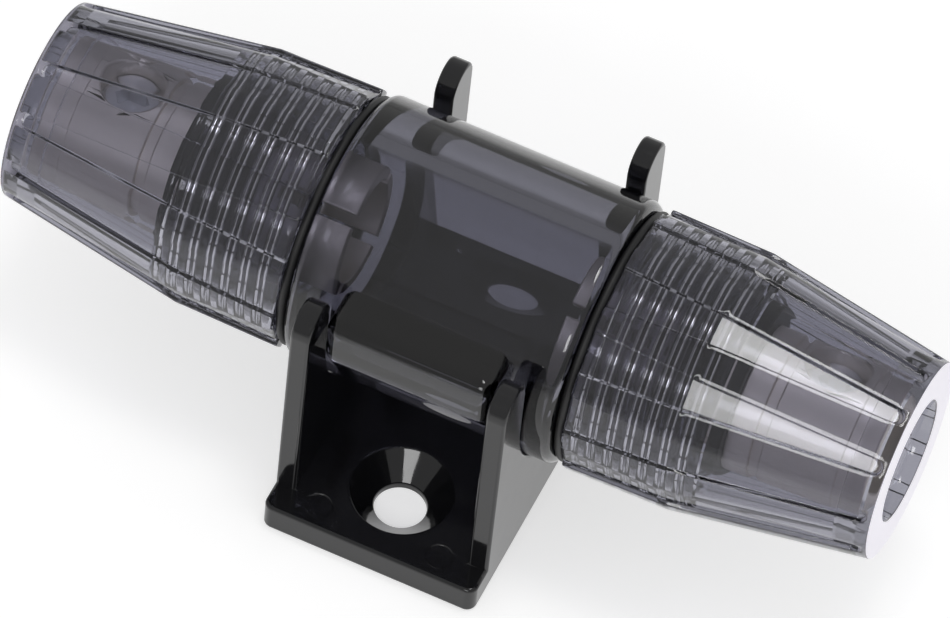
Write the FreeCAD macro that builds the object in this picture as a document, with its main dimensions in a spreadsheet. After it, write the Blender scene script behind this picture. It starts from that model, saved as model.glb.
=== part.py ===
import FreeCAD, Part
import math
import os
import Sketcher

doc = FreeCAD.newDocument("inline_fuse_holder")
VECTOR = FreeCAD.Vector

# A cutting outline reaches this far past the surface that it opens, in millimetres.
OVERRUN = 1.0
# Two places closer than this count as one, in millimetres.
SAME_PLACE = 0.01
# The least volume that a cut has to take away, in cubic millimetres.
LEAST_CUT = 0.001

# Driving dimensions in millimetres and degrees: alias, value, what it measures.
# The tube's axis runs along X, Y is the depth and Z is up; the bracket stands on z = 0.
DRIVING = [
    ("axis_height", "20.7", "underside of the bracket to the tube's axis"),
    ("fuse_length", "38", "length over the caps of the fuse that fits"),
    ("fuse_diameter", "10.3", "diameter of the fuse that fits"),
    ("bracket_inset", "2.8", "end of the bare barrel to the bracket's side"),
    ("bracket_depth", "41.6", "bracket across the tube"),
    ("plate_thickness", "3.2", "base plate"),
    ("corner_radius", "1", "upright corners of the base plate"),
    ("cheek_thickness", "2", "each upright cheek along the tube"),
    ("cheek_wall", "4.7", "cradle to the front or rear edge of a cheek"),
    ("tip_height", "8.1", "top of the cradle's round tips above the tube's axis"),
    ("cradle_clearance", "0.1", "gap between the barrel and the cradle"),
    ("screw_spacing", "26.6", "between the two mounting holes"),
    ("screw_hole", "5", "mounting hole"),
    ("countersink_width", "9.9", "countersink at the plate's top face"),
    ("countersink_angle", "90", "full angle of the countersink"),
    ("pin_mark_width", "2.5", "ejector pin mark"),
    ("pin_mark_depth", "0.12", "depth of an ejector pin mark"),
    ("pin_mark_side", "4.7", "ejector pin mark from the bracket's side"),
    ("pin_mark_front", "2.4", "ejector pin mark from the plate's front or rear edge"),
    ("shoulder_height", "2.3", "barrel above the threaded ends, on radius"),
    ("shoulder_radius", "1", "rounding of the barrel's shoulders"),
    ("spigot_length", "13.2", "threaded end of the tube"),
    ("spigot_wall", "3", "wall of a threaded end, over the crests"),
    ("spigot_chamfer", "0.6", "lead-in at the end of the thread"),
    ("lug_side_gap", "0.5", "end of the tube's front pad to a cheek"),
    ("lug_stand", "2.8", "front face of the pad beyond the barrel"),
    ("lug_top", "7", "top of the pad above the tube's axis"),
    ("lug_bottom", "1", "underside of the pad above the tube's axis"),
    ("lug_root", "4.1", "how deep the pad starts inside the wall"),
    ("lug_radius", "1.3", "rounding of the pad's edges"),
    ("seal_width", "0.9", "shoulder seal along the tube"),
    ("seal_height", "1.65", "shoulder seal from its bore to its outside"),
    ("seal_round", "0.3", "rounding of the shoulder seal"),
    ("running_gap", "0.05", "gap between pieces that turn or slide on each other"),
    ("cap_rim_wall", "2.1", "wall at the cap's wide rim, between the flutes"),
    ("cap_draft", "0.15", "how far the straight part narrows, on radius"),
    ("cap_taper", "3", "how far the tapered part narrows, on radius"),
    ("cap_straight", "10.4", "wide rim to the start of the taper"),
    ("cap_end_room", "0.5", "terminal's mouth to the cap's end wall"),
    ("cap_end_round", "0.2", "bevel round the end face"),
    ("cap_end_wall", "1.7", "end wall round the cable hole"),
    ("cap_wall", "2.1", "wall of the taper"),
    ("cap_step_length", "2", "thicker ring inside the small end"),
    ("cap_step_height", "0.6", "how far the inner ring stands in"),
    ("cable_hole", "12", "cable hole in the end face"),
    ("thread_room", "0.6", "threaded bore past the end of the spigot"),
    ("flute_count", "12", "flutes round each cap"),
    ("flute_width", "4.1", "flute at the wide rim"),
    ("flute_end_width", "1.4", "flute at its rounded end"),
    ("flute_depth", "0.5", "flute's flat floor under the round surface"),
    ("flute_stop", "0.6", "plain ring between the flutes and the end face"),
    ("bush_lip", "0.8", "flange of the contact bush beyond the tube's bore, on radius"),
    ("bush_flange", "1.6", "thickness of the bush's flange"),
    ("bush_room", "0.75", "back of the fuse cup to the bush"),
    ("cup_wall", "1.25", "wall of the fuse cup"),
    ("cup_room", "1.35", "gap between the cup and the tube's bore"),
    ("cup_grip", "8.2", "how far the fuse's cap goes into the cup"),
    ("cup_floor", "1.5", "floor of the fuse cup"),
    ("slot_width", "1.1", "slot that lets the cup spring"),
    ("slot_count", "4", "slots round the cup"),
    ("left_slot_turn", "-56", "left cup's slots turned away from its screw"),
    ("right_slot_turn", "-46", "right cup's slots turned away from its screw"),
    ("neck_diameter", "9.6", "neck between the cup and the terminal"),
    ("neck_length", "6.35", "back of the cup to the end of the tube"),
    ("terminal_step", "0.8", "terminal smaller than the tube's bore, on radius"),
    ("terminal_length", "13.5", "terminal from the bush to its mouth"),
    ("groove_start", "2.5", "terminal's shoulder to its groove"),
    ("groove_width", "1", "groove round the terminal"),
    ("groove_depth", "0.5", "groove round the terminal"),
    ("mouth_length", "2.6", "turned down end of the terminal"),
    ("mouth_step", "0.2", "turned down end of the terminal, on radius"),
    ("socket_diameter", "8.5", "cable socket"),
    ("socket_floor", "2", "terminal's shoulder to the bottom of the cable socket"),
    ("socket_bevel", "0.5", "lead-in of the cable socket"),
    ("set_screw_diameter", "5.9", "clamping screw"),
    ("set_screw_length", "5.4", "clamping screw"),
    ("set_screw_recess", "1.8", "screw's head below the terminal's surface"),
    ("set_screw_place", "7", "screw's axis from the terminal's shoulder"),
    ("set_screw_bevel", "0.4", "bevel at both ends of the screw"),
    ("hex_width", "3", "hexagon socket across its flats"),
    ("hex_depth", "2.4", "hexagon socket"),
    ("left_turn", "-4", "left contact turned about the tube's axis"),
    ("right_turn", "-16", "right contact turned about the tube's axis"),
    ("left_cap_turn", "19.5", "left cap turned about the tube's axis"),
    ("right_cap_turn", "14.5", "right cap turned about the tube's axis"),
]

sheet = doc.addObject("Spreadsheet::Sheet", "sizes")
for row, (alias, value, meaning) in enumerate(DRIVING, start=1):
    sheet.set(f"A{row}", meaning)
    sheet.set(f"B{row}", value)
    sheet.setAlias(f"B{row}", alias)
doc.recompute()


class Size:
    """A length worked out from the sheet: its expression and what it comes to now."""

    def __init__(self, text, value):
        self.text = text
        self.value = value

    def joined(self, sign, other, value):
        other_text = other.text if isinstance(other, Size) else repr(float(other))
        return Size(f"({self.text} {sign} {other_text})", value)

    def __add__(self, other):
        return self.joined("+", other, self.value + number(other))

    def __sub__(self, other):
        return self.joined("-", other, self.value - number(other))

    def __mul__(self, other):
        return self.joined("*", other, self.value * number(other))

    def __truediv__(self, other):
        return self.joined("/", other, self.value / number(other))


def number(size):
    return size.value if isinstance(size, Size) else float(size)


def size(alias):
    return Size("sizes." + alias, float(sheet.get(alias)))


ZERO = Size("0", 0.0)


def bind(thing, **sizes):
    for name, value in sizes.items():
        thing.setExpression(name, value.text)


def new_body(name, height=None, turn=None):
    """A sub-part, with its own origin at a height above the floor and turned about X."""
    body = doc.addObject("PartDesign::Body", name)
    body.Label = name
    if turn is not None:
        body.Placement = FreeCAD.Placement(VECTOR(), VECTOR(1, 0, 0), turn.value)
        body.setExpression("Placement.Rotation.Angle", turn.text)
    if height is not None:
        body.setExpression("Placement.Base.z", height.text)
    return body


def plane(body, role):
    return next(item for item in body.Origin.OriginFeatures if item.Role == role)


def new_sketch(body, role, name, offset=None, tilt=None):
    """A sketch on one of the body's own planes, moved along its normal by offset or tilted
    about its own first axis."""
    sketch = body.newObject("Sketcher::SketchObject", name)
    sketch.AttachmentSupport = (plane(body, role), "")
    sketch.MapMode = "FlatFace"
    if offset is not None:
        sketch.setExpression("AttachmentOffset.Base.z", offset.text)
    if tilt is not None:
        sketch.AttachmentOffset = FreeCAD.Placement(VECTOR(), VECTOR(1, 0, 0), tilt.value)
        sketch.setExpression("AttachmentOffset.Rotation.Angle", tilt.text)
    return sketch


def pin(sketch, geometry, end, across, up):
    """Holds one point of the sketch at two sizes from its origin."""
    for kind, value in (("DistanceX", across), ("DistanceY", up)):
        index = sketch.addConstraint(Sketcher.Constraint(kind, -1, 1, geometry, end, value.value))
        sketch.setExpression(f"Constraints[{index}]", value.text)


def outline(sketch, corners):
    """A closed outline through the corners. A corner with a third entry is reached by an
    arc of that radius, and a fourth entry True puts the arc's bulge on its right side."""
    count = len(corners)
    for index in range(count):
        start = corners[index]
        stop = corners[(index + 1) % count]
        first = VECTOR(start[0].value, start[1].value, 0)
        last = VECTOR(stop[0].value, stop[1].value, 0)
        if len(stop) == 2:
            sketch.addGeometry(Part.LineSegment(first, last), False)
            continue
        chord = last - first
        radius = stop[2].value
        height = math.sqrt(max(radius ** 2 - (chord.Length / 2) ** 2, 0))
        side = VECTOR(-chord.y, chord.x, 0).normalize()
        turn = 1 if stop[3] else -1
        centre = (first + last) * 0.5 + side * (height * turn)
        middle = centre - side * (radius * turn)
        sketch.addGeometry(Part.Arc(first, middle, last), False)
    for index in range(count):
        stop = corners[(index + 1) % count]
        begin, end = 1, 2
        if len(stop) > 2 and not stop[3]:
            begin, end = 2, 1
        following = (index + 1) % count
        after = corners[(index + 2) % count]
        next_begin = 2 if len(after) > 2 and not after[3] else 1
        sketch.addConstraint(Sketcher.Constraint("Coincident", index, end, following, next_begin))
        pin(sketch, index, end, stop[0], stop[1])
        if len(stop) > 2:
            held = sketch.addConstraint(Sketcher.Constraint("Radius", index, stop[2].value))
            sketch.setExpression(f"Constraints[{held}]", stop[2].text)


def circle(sketch, across, up, radius):
    centre = VECTOR(across.value, up.value, 0)
    index = sketch.addGeometry(Part.Circle(centre, VECTOR(0, 0, 1), radius.value), False)
    pin(sketch, index, 3, across, up)
    held = sketch.addConstraint(Sketcher.Constraint("Radius", index, radius.value))
    sketch.setExpression(f"Constraints[{held}]", radius.text)


def upright_line(sketch, across, low, high):
    """A construction line up the sketch, which becomes its first axis."""
    first = VECTOR(across.value, low.value, 0)
    last = VECTOR(across.value, high.value, 0)
    index = sketch.addGeometry(Part.LineSegment(first, last), True)
    pin(sketch, index, 1, across, low)
    pin(sketch, index, 2, across, high)


def turned(body, name, corners):
    """A solid of revolution about the body's X axis."""
    sketch = new_sketch(body, "XZ_Plane", name + "_outline")
    outline(sketch, corners)
    doc.recompute()
    feature = body.newObject("PartDesign::Revolution", name)
    feature.Profile = sketch
    feature.ReferenceAxis = (sketch, ["H_Axis"])
    feature.Angle = 360
    sketch.Visibility = False
    doc.recompute()
    return feature


def pad(body, sketch, name, length, both_ways=False, reverse=False):
    feature = body.newObject("PartDesign::Pad", name)
    feature.Profile = sketch
    bind(feature, Length=length)
    feature.SideType = "Symmetric" if both_ways else "One side"
    feature.Reversed = reverse
    doc.recompute()
    return feature


def check_cut(feature):
    before = feature.BaseFeature.Shape.Volume
    if feature.Shape.isNull() or feature.Shape.Volume > before - LEAST_CUT:
        raise RuntimeError(feature.Name + " cuts nothing")


def cut(body, sketch, name, length=None, both_ways=False, reverse=False):
    feature = body.newObject("PartDesign::Pocket", name)
    feature.Profile = sketch
    if length is None:
        feature.Type = "ThroughAll"
    else:
        bind(feature, Length=length)
    feature.SideType = "Symmetric" if both_ways else "One side"
    feature.Reversed = reverse
    doc.recompute()
    check_cut(feature)
    return feature


def cut_through(body, sections, name):
    """A cut that runs straight from each section to the next."""
    feature = body.newObject("PartDesign::SubtractiveLoft", name)
    feature.Profile = sections[0]
    feature.Sections = sections[1:]
    feature.Ruled = True
    doc.recompute()
    check_cut(feature)
    return feature


def ring_of(body, name, feature, count):
    """Repeats a feature round the body's X axis."""
    pattern = body.newObject("PartDesign::PolarPattern", name)
    pattern.Originals = [feature]
    pattern.Axis = (plane(body, "X_Axis"), [""])
    pattern.Angle = 360
    bind(pattern, Occurrences=count)
    body.Tip = pattern
    doc.recompute()
    return pattern


def mirrored(body, name, features, role):
    mirror = body.newObject("PartDesign::Mirrored", name)
    mirror.Originals = features
    mirror.MirrorPlane = (plane(body, role), [""])
    body.Tip = mirror
    doc.recompute()
    return mirror


def rounded(body, name, chosen, radius):
    """Rounds the edges of the finished shape that the test picks out."""
    base = body.Tip
    edges = enumerate(base.Shape.Edges, start=1)
    picked = [f"Edge{index}" for index, edge in edges if chosen(edge)]
    if not picked:
        raise RuntimeError(name + " finds no edge")
    feature = body.newObject("PartDesign::Fillet", name)
    feature.Base = (base, picked)
    bind(feature, Radius=radius)
    doc.recompute()
    return feature


# Radii and stations that several pieces share. The section grows out from the fuse, and
# the length from the middle of the tube: fuse, cup, neck, end of the tube.
axis_height = size("axis_height")
gap = size("running_gap")
cup_inner = size("fuse_diameter") / 2 + gap
cup_outer = cup_inner + size("cup_wall")
chamber_radius = cup_outer + size("cup_room")
spigot_radius = chamber_radius + size("spigot_wall")
barrel_radius = spigot_radius + size("shoulder_height")
cup_bottom = size("fuse_length") / 2 + gap
cup_back = cup_bottom + size("cup_floor")
spigot_end = cup_back + size("neck_length")
barrel_half = spigot_end - size("spigot_length")

# Mounting bracket: one black moulding. Two upright cheeks with a cradle for the tube
# stand on a base plate with a countersunk hole in front of the tube and one behind it.
bracket = new_body("mounting_bracket")
half_width = barrel_half - size("bracket_inset")
half_depth = size("bracket_depth") / 2
plate_top = size("plate_thickness")

plate_sketch = new_sketch(bracket, "XY_Plane", "plate_outline")
outline(plate_sketch, [
    (half_width * -1, half_depth * -1), (half_width, half_depth * -1),
    (half_width, half_depth), (half_width * -1, half_depth),
])
doc.recompute()
pad(bracket, plate_sketch, "plate", plate_top)
rounded(
    bracket, "plate_corners",
    lambda edge: edge.BoundBox.ZLength > plate_top.value - SAME_PLACE,
    size("corner_radius"),
)

cradle_radius = barrel_radius + size("cradle_clearance")
cheek_half = cradle_radius + size("cheek_wall")
cheek_inside = half_width - size("cheek_thickness")
tip_top = axis_height + size("tip_height")
tip_round = size("cheek_wall") / 2
tip_start = tip_top - tip_round
tip_middle = cradle_radius + tip_round
cheek_sketch = new_sketch(bracket, "YZ_Plane", "cheek_outline", cheek_inside)
outline(cheek_sketch, [
    (cheek_half * -1, plate_top / 2), (cheek_half, plate_top / 2),
    (cheek_half, tip_start),
    (tip_middle, tip_top, tip_round, True),
    (cradle_radius, tip_start, tip_round, True),
    (cradle_radius, axis_height),
    (ZERO, axis_height - cradle_radius, cradle_radius, False),
    (cradle_radius * -1, axis_height, cradle_radius, False),
    (cradle_radius * -1, tip_start),
    (tip_middle * -1, tip_top, tip_round, True),
    (cheek_half * -1, tip_start, tip_round, True),
])
doc.recompute()
cheek = pad(bracket, cheek_sketch, "cheek", size("cheek_thickness"))
mirrored(bracket, "cheek_pair", [cheek], "YZ_Plane")

hole_radius = size("screw_hole") / 2
sink_radius = size("countersink_width") / 2
hole_y = size("screw_spacing") / -2
sink_slope = math.tan(math.radians(float(sheet.get("countersink_angle")) / 2))
sink_depth = Size(
    f"({sink_radius.text} - {hole_radius.text}) / tan(sizes.countersink_angle * 1deg / 2)",
    (sink_radius.value - hole_radius.value) / sink_slope,
)
hole_sketch = new_sketch(bracket, "YZ_Plane", "hole_outline")
outline(hole_sketch, [
    (hole_y, ZERO - OVERRUN), (hole_y + hole_radius, ZERO - OVERRUN),
    (hole_y + hole_radius, plate_top - sink_depth),
    (hole_y + sink_radius, plate_top), (hole_y, plate_top),
])
upright_line(hole_sketch, hole_y, ZERO, plate_top)
doc.recompute()
hole = bracket.newObject("PartDesign::Groove", "countersunk_hole")
hole.Profile = hole_sketch
hole.ReferenceAxis = (hole_sketch, ["Axis0"])
hole.Angle = 360
doc.recompute()
check_cut(hole)

mark_x = half_width - size("pin_mark_side")
mark_y = size("pin_mark_front") - half_depth
mark_sketch = new_sketch(bracket, "XY_Plane", "pin_mark_outline", plate_top)
for side in (-1, 1):
    circle(mark_sketch, mark_x * side, mark_y, size("pin_mark_width") / 2)
doc.recompute()
marks = cut(bracket, mark_sketch, "pin_marks", size("pin_mark_depth"))
mirrored(bracket, "rear_hole", [hole, marks], "XZ_Plane")

# Tube body: one clear smoked moulding with a bare barrel, a threaded spigot at each end,
# a plain bore for the fuse and a rounded pad at the front, between the bracket's cheeks.
tube = new_body("body_tube", axis_height)
shoulder = size("shoulder_radius")
bevel = size("spigot_chamfer")
turned(tube, "tube_turned", [
    (spigot_end * -1, chamber_radius), (spigot_end, chamber_radius),
    (spigot_end, spigot_radius - bevel), (spigot_end - bevel, spigot_radius),
    (barrel_half, spigot_radius), (barrel_half, barrel_radius - shoulder),
    (barrel_half - shoulder, barrel_radius, shoulder, True),
    ((barrel_half - shoulder) * -1, barrel_radius),
    (barrel_half * -1, barrel_radius - shoulder, shoulder, True),
    (barrel_half * -1, spigot_radius), ((spigot_end - bevel) * -1, spigot_radius),
    (spigot_end * -1, spigot_radius - bevel),
])
lug_half = cheek_inside - size("lug_side_gap")
lug_sketch = new_sketch(tube, "XZ_Plane", "lug_outline", barrel_radius - size("lug_root"))
outline(lug_sketch, [
    (lug_half * -1, size("lug_bottom")), (lug_half, size("lug_bottom")),
    (lug_half, size("lug_top")), (lug_half * -1, size("lug_top")),
])
doc.recompute()
pad(tube, lug_sketch, "lug", size("lug_stand") + size("lug_root"))
lug_front = barrel_radius + size("lug_stand")


def on_lug_front(edge):
    straight = edge.Curve.TypeId == "Part::GeomLine"
    return straight and edge.BoundBox.YMin < SAME_PLACE - lug_front.value


rounded(tube, "lug_rounding", on_lug_front, size("lug_radius"))

# Shoulder seals: a black rubber ring round the root of each spigot, between the barrel's
# shoulder and the rim of the cap.
seal_start = barrel_half + gap
seal_stop = seal_start + size("seal_width")
cap_rim = seal_stop + gap


def make_seal(name, side):
    body = new_body(name, axis_height)
    inner = spigot_radius + gap
    outer = inner + size("seal_height")
    soft = size("seal_round")
    turned(body, name + "_turned", [
        (seal_start * side, inner), (seal_stop * side, inner),
        (seal_stop * side, outer - soft), ((seal_stop - soft) * side, outer),
        ((seal_start + soft) * side, outer), (seal_start * side, outer - soft),
    ])
    return body


# Caps: a clear smoked cone with twelve flat flutes that narrow to rounded ends, threaded
# inside its wide end, with a plain ring and a cable hole at its small end.
flange_stop = spigot_end + size("bush_flange")
terminal_mouth = flange_stop + size("terminal_length")


def make_cap(name, side, turn):
    body = new_body(name, axis_height, size(turn))
    rim = cap_rim
    knee = rim + size("cap_straight")
    floor = terminal_mouth + size("cap_end_room")
    end = floor + size("cap_end_wall")
    bore = spigot_radius + gap
    wide = bore + size("cap_rim_wall")
    mid = wide - size("cap_draft")
    small = mid - size("cap_taper")
    thread_end = spigot_end + size("thread_room")
    step = floor - size("cap_step_length")
    slope = (mid - small) / (end - knee)
    wall = size("cap_wall")
    step_radius = mid - slope * (step - knee) - wall
    ring_radius = step_radius - size("cap_step_height")
    bevel = size("cap_end_round")
    hole = size("cable_hole") / 2
    turned(body, name + "_turned", [
        (rim * side, bore), (thread_end * side, bore),
        (thread_end * side, mid - slope * (thread_end - knee) - wall),
        (step * side, step_radius), (step * side, ring_radius),
        (floor * side, ring_radius), (floor * side, hole), (end * side, hole),
        (end * side, small - bevel), ((end - bevel) * side, small),
        (knee * side, mid), (rim * side, wide),
    ])
    # Each flute is a run of flat floors under the round surface, narrowing along the cap.
    # Its narrow end is as round as it is wide.
    half_end = size("flute_end_width") / 2
    stop = end - size("flute_stop") - half_end
    stop_radius = mid - slope * (stop - knee)
    beyond = wide + OVERRUN
    deep = size("flute_depth")
    half_wide = size("flute_width") / 2
    narrowing = (half_wide - half_end) / (stop - rim)
    start = rim - OVERRUN
    half_knee = half_wide - narrowing * (knee - rim)
    sections = []
    for label, station, half, floor_radius in (
            ("rim", start, half_wide + narrowing * OVERRUN, wide - deep),
            ("knee", knee, half_knee, mid - deep), ("end", stop, half_end, stop_radius - deep)):
        sketch = new_sketch(body, "YZ_Plane", f"{name}_flute_{label}", offset=station * side)
        outline(sketch, [(half * -1, floor_radius), (half, floor_radius),
                         (half, beyond), (half * -1, beyond)])
        sections.append(sketch)
    doc.recompute()
    flute = cut_through(body, sections, name + "_flute")
    ring_of(body, name + "_flutes", flute, size("flute_count"))
    tip_sketch = new_sketch(body, "XY_Plane", name + "_flute_tip_outline", offset=stop_radius - deep)
    circle(tip_sketch, stop * side, ZERO, half_end)
    doc.recompute()
    tip = cut(body, tip_sketch, name + "_flute_tip", mid, reverse=True)
    ring_of(body, name + "_flute_tips", tip, size("flute_count"))
    return body


# Contact bushes: a soft black sleeve in each end of the bore that centres the contact,
# with a flange on the spigot's end face that the terminal rests on.
def make_bush(name, side):
    body = new_body(name, axis_height)
    inner = size("neck_diameter") / 2
    flange = chamber_radius + size("bush_lip")
    sleeve_end = cup_back + size("bush_room")
    turned(body, name + "_turned", [
        (sleeve_end * side, inner), (flange_stop * side, inner),
        (flange_stop * side, flange), (spigot_end * side, flange),
        (spigot_end * side, chamber_radius), (sleeve_end * side, chamber_radius),
    ])
    return body


# Contacts: one plated brass turning each, with a slotted cup that grips the fuse's cap, a
# neck in the bush and a terminal with a cable socket and a tapped hole for its screw.
terminal_radius = chamber_radius - size("terminal_step")
screw_x = flange_stop + size("set_screw_place")
screw_hole_radius = size("set_screw_diameter") / 2 + gap


def make_contact(name, side, turn, slot_turn):
    body = new_body(name, axis_height, size(turn))
    cup_mouth = cup_bottom - size("cup_grip")
    neck = size("neck_diameter") / 2
    groove = flange_stop + size("groove_start")
    groove_end = groove + size("groove_width")
    groove_radius = terminal_radius - size("groove_depth")
    mouth = terminal_mouth
    mouth_start = mouth - size("mouth_length")
    mouth_radius = terminal_radius - size("mouth_step")
    socket = size("socket_diameter") / 2
    socket_bottom = flange_stop + size("socket_floor")
    turned(body, name + "_turned", [
        (cup_bottom * side, ZERO), (cup_bottom * side, cup_inner),
        (cup_mouth * side, cup_inner), (cup_mouth * side, cup_outer),
        (cup_back * side, cup_outer), (cup_back * side, neck),
        (flange_stop * side, neck), (flange_stop * side, terminal_radius),
        (groove * side, terminal_radius), (groove * side, groove_radius),
        (groove_end * side, groove_radius), (groove_end * side, terminal_radius),
        (mouth_start * side, terminal_radius), (mouth_start * side, mouth_radius),
        (mouth * side, mouth_radius), (mouth * side, socket + size("socket_bevel")),
        ((mouth - size("socket_bevel")) * side, socket),
        (socket_bottom * side, socket), (socket_bottom * side, ZERO),
    ])
    slot_sketch = new_sketch(body, "XZ_Plane", name + "_slot_outline", tilt=size(slot_turn))
    half_slot = size("slot_width") / 2
    slot_open = (cup_mouth - OVERRUN) * side
    slot_end = (cup_bottom - half_slot) * side
    outline(slot_sketch, [
        (slot_open, half_slot * -1), (slot_end, half_slot * -1),
        (slot_end, half_slot), (slot_open, half_slot),
    ])
    doc.recompute()
    slot = cut(body, slot_sketch, name + "_slot", cup_outer + OVERRUN, reverse=True)
    ring_of(body, name + "_slots", slot, size("slot_count"))
    screw_sketch = new_sketch(body, "XY_Plane", name + "_screw_hole_outline")
    circle(screw_sketch, screw_x * side, ZERO, screw_hole_radius)
    doc.recompute()
    cut(body, screw_sketch, name + "_screw_hole", terminal_radius + OVERRUN, reverse=True)
    return body


# Set screws: a short steel screw with a hexagon socket that clamps the cable's strands.
def make_screw(name, side, turn):
    body = new_body(name, axis_height, size(turn))
    top = terminal_radius - size("set_screw_recess")
    bottom = top - size("set_screw_length")
    radius = size("set_screw_diameter") / 2
    bevel = size("set_screw_bevel")
    centre = screw_x * side
    sketch = new_sketch(body, "XZ_Plane", name + "_outline")
    outline(sketch, [
        (centre, bottom), (centre + radius - bevel, bottom),
        (centre + radius, bottom + bevel), (centre + radius, top - bevel),
        (centre + radius - bevel, top), (centre, top),
    ])
    upright_line(sketch, centre, bottom, top)
    doc.recompute()
    feature = body.newObject("PartDesign::Revolution", name + "_turned")
    feature.Profile = sketch
    feature.ReferenceAxis = (sketch, ["Axis0"])
    feature.Angle = 360
    doc.recompute()
    hexagon = new_sketch(body, "XY_Plane", name + "_hexagon", top)
    corner = size("hex_width") / math.sqrt(3)
    flat = size("hex_width") / 2
    outline(hexagon, [
        (centre + corner, ZERO), (centre + corner / 2, flat), (centre - corner / 2, flat),
        (centre - corner, ZERO), (centre - corner / 2, flat * -1), (centre + corner / 2, flat * -1),
    ])
    doc.recompute()
    cut(body, hexagon, name + "_socket", size("hex_depth"))
    return body


for side_name, side in (("left", -1), ("right", 1)):
    make_seal(side_name + "_shoulder_seal", side)
    make_cap(side_name + "_end_cap", side, side_name + "_cap_turn")
    make_bush(side_name + "_contact_bush", side)
    make_contact(side_name + "_contact", side, side_name + "_turn", side_name + "_slot_turn")
    make_screw(side_name + "_set_screw", side, side_name + "_turn")

doc.recompute()
for item in doc.Objects:
    if "Invalid" in item.State or "Error" in item.State:
        raise RuntimeError(f"{item.Label} failed: {item.State}")

os.makedirs("parts", exist_ok=True)
for body in doc.findObjects("PartDesign::Body"):
    shape = body.Shape
    if shape.isNull() or not shape.isValid() or not shape.Solids:
        raise RuntimeError(body.Label + " has no valid solid")
    print(body.Label, len(shape.Solids), round(shape.Volume, 2))
    shape.exportStep(f"parts/{body.Label}.step")
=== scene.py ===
import math

import bmesh
import bpy
from mathutils import Matrix, Vector


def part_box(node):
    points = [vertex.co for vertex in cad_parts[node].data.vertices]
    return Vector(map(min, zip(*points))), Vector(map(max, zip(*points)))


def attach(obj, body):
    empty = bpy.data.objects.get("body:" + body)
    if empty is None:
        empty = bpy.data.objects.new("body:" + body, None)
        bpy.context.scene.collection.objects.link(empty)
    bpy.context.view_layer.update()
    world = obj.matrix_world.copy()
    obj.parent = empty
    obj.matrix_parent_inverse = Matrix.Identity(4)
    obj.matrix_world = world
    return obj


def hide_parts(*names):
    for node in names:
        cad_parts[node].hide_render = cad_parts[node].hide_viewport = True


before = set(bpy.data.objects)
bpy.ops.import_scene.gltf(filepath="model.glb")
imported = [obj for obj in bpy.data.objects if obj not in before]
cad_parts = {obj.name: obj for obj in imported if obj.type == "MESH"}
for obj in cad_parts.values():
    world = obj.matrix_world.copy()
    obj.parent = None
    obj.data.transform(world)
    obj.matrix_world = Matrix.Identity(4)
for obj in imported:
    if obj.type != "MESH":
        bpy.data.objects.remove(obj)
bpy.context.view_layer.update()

# Mounting bracket: one moulding of black ABS out of a polished tool, two cradle cheeks on a
# base plate. Two countersunk screws hold the plate down, and the tube snaps in from above
# between the cheeks' tips.
MM = 0.001
# Vertices this close are one, faces this flat are one, and corners over this are rounded.
SAME_PLACE = 0.0005 * MM
FLAT_WITHIN = math.radians(0.4)
CORNER_OVER = math.radians(25)


def linear(colour):
    """An sRGB hex colour as the linear values that shaders take."""
    channels = [int(colour[place:place + 2], 16) / 255 for place in (1, 3, 5)]
    return [c / 12.92 if c <= 0.04045 else ((c + 0.055) / 1.055) ** 2.4 for c in channels] + [1.0]


def add(tree, kind, inputs=None, **settings):
    """Adds a node with its settings, and fills or links its inputs."""
    made = tree.nodes.new(kind)
    for name, value in settings.items():
        setattr(made, name, value)
    for name, value in (inputs or {}).items():
        if isinstance(value, bpy.types.NodeSocket):
            tree.links.new(value, made.inputs[name])
        else:
            made.inputs[name].default_value = value
    return made


def new_material(name):
    material = bpy.data.materials.new(name)
    material.use_nodes = True
    material.node_tree.nodes.clear()
    return material, material.node_tree


def new_piece(name, mesh):
    piece = bpy.data.objects.new(name, mesh)
    bpy.context.scene.collection.objects.link(piece)
    return piece


def made_plain(piece):
    """Keeps what a piece's modifiers make of it as its own mesh, and takes them off."""
    depsgraph = bpy.context.evaluated_depsgraph_get()
    evaluated = piece.evaluated_get(depsgraph)
    mesh = bpy.data.meshes.new_from_object(evaluated, depsgraph=depsgraph)
    piece.modifiers.clear()
    piece.data = mesh
    return mesh


def flattened_shading(piece):
    """Lets large faces keep their own normals, so that they mirror as the flats they are."""
    weighted = piece.modifiers.new("flat_faces", "WEIGHTED_NORMAL")
    weighted.keep_sharp = True
    made_plain(piece)


def softened(node, name, width, finer=None, steps=3):
    """A CAD node's shape with its outer edges rounded over as a mould or a tool leaves them.
    The finer test gives an edge's share of that rounding."""
    shape = bmesh.new()
    shape.from_mesh(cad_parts[node].data)
    bmesh.ops.remove_doubles(shape, verts=shape.verts, dist=SAME_PLACE)
    bmesh.ops.dissolve_limit(
        shape, angle_limit=FLAT_WITHIN, verts=shape.verts, edges=shape.edges)
    weight = shape.edges.layers.float.new("bevel_weight_edge")
    for edge in shape.edges:
        corner = len(edge.link_faces) == 2 and edge.calc_face_angle() > CORNER_OVER
        edge.smooth = not corner
        if corner and edge.is_convex:
            edge[weight] = finer(edge) if finer else 1.0
    for face in shape.faces:
        face.smooth = True
    mesh = bpy.data.meshes.new(name)
    shape.to_mesh(mesh)
    shape.free()
    piece = new_piece(name, mesh)
    bevel = piece.modifiers.new("rounded_edges", "BEVEL")
    bevel.limit_method = "WEIGHT"
    bevel.width = width
    bevel.segments = steps
    bevel.use_clamp_overlap = False
    flattened_shading(piece)
    return piece


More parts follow.
